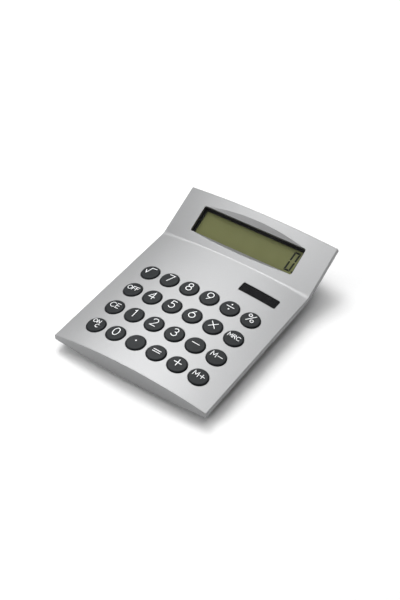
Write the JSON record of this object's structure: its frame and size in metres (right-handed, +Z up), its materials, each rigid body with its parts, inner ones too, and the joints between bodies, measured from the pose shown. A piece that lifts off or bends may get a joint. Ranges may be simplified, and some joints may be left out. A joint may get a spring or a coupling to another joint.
{
  "type": "desk calculator",
  "caption": "Slim desk calculator with a crowned lens-shaped case, a raised display panel, a solar cell and round keys that press.",
  "frame": {"origin": "on the table under the middle of the case's box", "axes": "+X to the user's right, +Y to the back towards the display, +Z up"},
  "size_m": [0.103, 0.1374, 0.0338],
  "materials": {
    "silver_case": "satin metallic silver, fine grain",
    "grey_cover": "fine spark-eroded grey ABS",
    "foot_rubber": "matt black rubber",
    "key_rubber": "charcoal soft-touch, slightly sheened",
    "black_plastic": "black moulded plastic",
    "clear_pane": "clear acrylic",
    "lcd": "olive green reflective LCD",
    "reflector_film": "brushed reflector film",
    "flat_cable": "amber flat cable",
    "tinted_pane": "dark tinted acrylic",
    "solar_glass": "dark brown-black cell with fine silver strips",
    "wire_red": "red insulation",
    "wire_black": "black insulation",
    "circuit_board": "green solder mask",
    "epoxy": "black epoxy",
    "capacitor_sleeve": "blue sleeve",
    "silicone": "translucent grey silicone",
    "carbon_rubber": "carbon-filled rubber",
    "plated_steel": "nickel-plated steel",
    "battery_steel": "bright steel can"
  },
  "bodies": {
    "case": {"top_shell": "silver_case", "bottom_cover": "grey_cover", "rubber_feet": "foot_rubber", "display_bezel": "black_plastic", "display_window": "clear_pane", "lcd_glass": "lcd", "lcd_reflector": "reflector_film", "lcd_ribbon": "flat_cable", "solar_window": "tinted_pane", "solar_cell": "solar_glass", "solar_wire_red": "wire_red", "solar_wire_black": "wire_black", "main_board": "circuit_board", "chip_glob": "epoxy", "capacitor": "capacitor_sleeve", "chip_resistors": "epoxy", "key_mat": "silicone", "contact_pills": "carbon_rubber", "board_screws": "plated_steel", "case_screws": "plated_steel", "button_cell": "battery_steel", "battery_contact_negative": "plated_steel", "battery_contact_positive": "plated_steel"},
    "key_root": {"key_root": "key_rubber"},
    "key_7": {"key_7": "key_rubber"},
    "key_8": {"key_8": "key_rubber"},
    "key_9": {"key_9": "key_rubber"},
    "key_divide": {"key_divide": "key_rubber"},
    "key_percent": {"key_percent": "key_rubber"},
    "key_off": {"key_off": "key_rubber"},
    "key_4": {"key_4": "key_rubber"},
    "key_5": {"key_5": "key_rubber"},
    "key_6": {"key_6": "key_rubber"},
    "key_multiply": {"key_multiply": "key_rubber"},
    "key_memory_recall": {"key_memory_recall": "key_rubber"},
    "key_clear_entry": {"key_clear_entry": "key_rubber"},
    "key_1": {"key_1": "key_rubber"},
    "key_2": {"key_2": "key_rubber"},
    "key_3": {"key_3": "key_rubber"},
    "key_minus": {"key_minus": "key_rubber"},
    "key_memory_minus": {"key_memory_minus": "key_rubber"},
    "key_on_clear": {"key_on_clear": "key_rubber"},
    "key_0": {"key_0": "key_rubber"},
    "key_point": {"key_point": "key_rubber"},
    "key_equals": {"key_equals": "key_rubber"},
    "key_plus": {"key_plus": "key_rubber"},
    "key_memory_plus": {"key_memory_plus": "key_rubber"},
    "battery_door": {"battery_door": "grey_cover"}
  },
  "joints": [
    {"name": "key_root_press", "type": "slide", "parent": "case", "child": "key_root", "axis": [0, 0.041, -0.9992], "range_m": [0, 0.0008], "stiffness_N_per_m": 600, "springref_m": -0.0005, "deforming": ["key_mat", "contact_pills"]},
    {"name": "key_7_press", "type": "slide", "parent": "case", "child": "key_7", "axis": [0, 0.041, -0.9992], "range_m": [0, 0.0008], "stiffness_N_per_m": 600, "springref_m": -0.0005},
    {"name": "key_8_press", "type": "slide", "parent": "case", "child": "key_8", "axis": [0, 0.041, -0.9992], "range_m": [0, 0.0008], "stiffness_N_per_m": 600, "springref_m": -0.0005},
    {"name": "key_9_press", "type": "slide", "parent": "case", "child": "key_9", "axis": [0, 0.041, -0.9992], "range_m": [0, 0.0008], "stiffness_N_per_m": 600, "springref_m": -0.0005},
    {"name": "key_divide_press", "type": "slide", "parent": "case", "child": "key_divide", "axis": [0, 0.041, -0.9992], "range_m": [0, 0.0008], "stiffness_N_per_m": 600, "springref_m": -0.0005},
    {"name": "key_percent_press", "type": "slide", "parent": "case", "child": "key_percent", "axis": [0, 0.041, -0.9992], "range_m": [0, 0.0008], "stiffness_N_per_m": 600, "springref_m": -0.0005},
    {"name": "key_off_press", "type": "slide", "parent": "case", "child": "key_off", "axis": [0, 0.041, -0.9992], "range_m": [0, 0.0008], "stiffness_N_per_m": 600, "springref_m": -0.0005},
    {"name": "key_4_press", "type": "slide", "parent": "case", "child": "key_4", "axis": [0, 0.041, -0.9992], "range_m": [0, 0.0008], "stiffness_N_per_m": 600, "springref_m": -0.0005},
    {"name": "key_5_press", "type": "slide", "parent": "case", "child": "key_5", "axis": [0, 0.041, -0.9992], "range_m": [0, 0.0008], "stiffness_N_per_m": 600, "springref_m": -0.0005},
    {"name": "key_6_press", "type": "slide", "parent": "case", "child": "key_6", "axis": [0, 0.041, -0.9992], "range_m": [0, 0.0008], "stiffness_N_per_m": 600, "springref_m": -0.0005},
    {"name": "key_multiply_press", "type": "slide", "parent": "case", "child": "key_multiply", "axis": [0, 0.041, -0.9992], "range_m": [0, 0.0008], "stiffness_N_per_m": 600, "springref_m": -0.0005},
    {"name": "key_memory_recall_press", "type": "slide", "parent": "case", "child": "key_memory_recall", "axis": [0, 0.041, -0.9992], "range_m": [0, 0.0008], "stiffness_N_per_m": 600, "springref_m": -0.0005},
    {"name": "key_clear_entry_press", "type": "slide", "parent": "case", "child": "key_clear_entry", "axis": [0, 0.041, -0.9992], "range_m": [0, 0.0008], "stiffness_N_per_m": 600, "springref_m": -0.0005},
    {"name": "key_1_press", "type": "slide", "parent": "case", "child": "key_1", "axis": [0, 0.041, -0.9992], "range_m": [0, 0.0008], "stiffness_N_per_m": 600, "springref_m": -0.0005},
    {"name": "key_2_press", "type": "slide", "parent": "case", "child": "key_2", "axis": [0, 0.041, -0.9992], "range_m": [0, 0.0008], "stiffness_N_per_m": 600, "springref_m": -0.0005},
    {"name": "key_3_press", "type": "slide", "parent": "case", "child": "key_3", "axis": [0, 0.041, -0.9992], "range_m": [0, 0.0008], "stiffness_N_per_m": 600, "springref_m": -0.0005},
    {"name": "key_minus_press", "type": "slide", "parent": "case", "child": "key_minus", "axis": [0, 0.041, -0.9992], "range_m": [0, 0.0008], "stiffness_N_per_m": 600, "springref_m": -0.0005},
    {"name": "key_memory_minus_press", "type": "slide", "parent": "case", "child": "key_memory_minus", "axis": [0, 0.041, -0.9992], "range_m": [0, 0.0008], "stiffness_N_per_m": 600, "springref_m": -0.0005},
    {"name": "key_on_clear_press", "type": "slide", "parent": "case", "child": "key_on_clear", "axis": [0, 0.041, -0.9992], "range_m": [0, 0.0008], "stiffness_N_per_m": 600, "springref_m": -0.0005},
    {"name": "key_0_press", "type": "slide", "parent": "case", "child": "key_0", "axis": [0, 0.041, -0.9992], "range_m": [0, 0.0008], "stiffness_N_per_m": 600, "springref_m": -0.0005},
    {"name": "key_point_press", "type": "slide", "parent": "case", "child": "key_point", "axis": [0, 0.041, -0.9992], "range_m": [0, 0.0008], "stiffness_N_per_m": 600, "springref_m": -0.0005},
    {"name": "key_equals_press", "type": "slide", "parent": "case", "child": "key_equals", "axis": [0, 0.041, -0.9992], "range_m": [0, 0.0008], "stiffness_N_per_m": 600, "springref_m": -0.0005},
    {"name": "key_plus_press", "type": "slide", "parent": "case", "child": "key_plus", "axis": [0, 0.041, -0.9992], "range_m": [0, 0.0008], "stiffness_N_per_m": 600, "springref_m": -0.0005},
    {"name": "key_memory_plus_press", "type": "slide", "parent": "case", "child": "key_memory_plus", "axis": [0, 0.041, -0.9992], "range_m": [0, 0.0008], "stiffness_N_per_m": 600, "springref_m": -0.0005},
    {"name": "battery_door_slide", "type": "slide", "parent": "case", "child": "battery_door", "axis": [0, 1, 0], "range_m": [0, 0.021]}
  ]
}
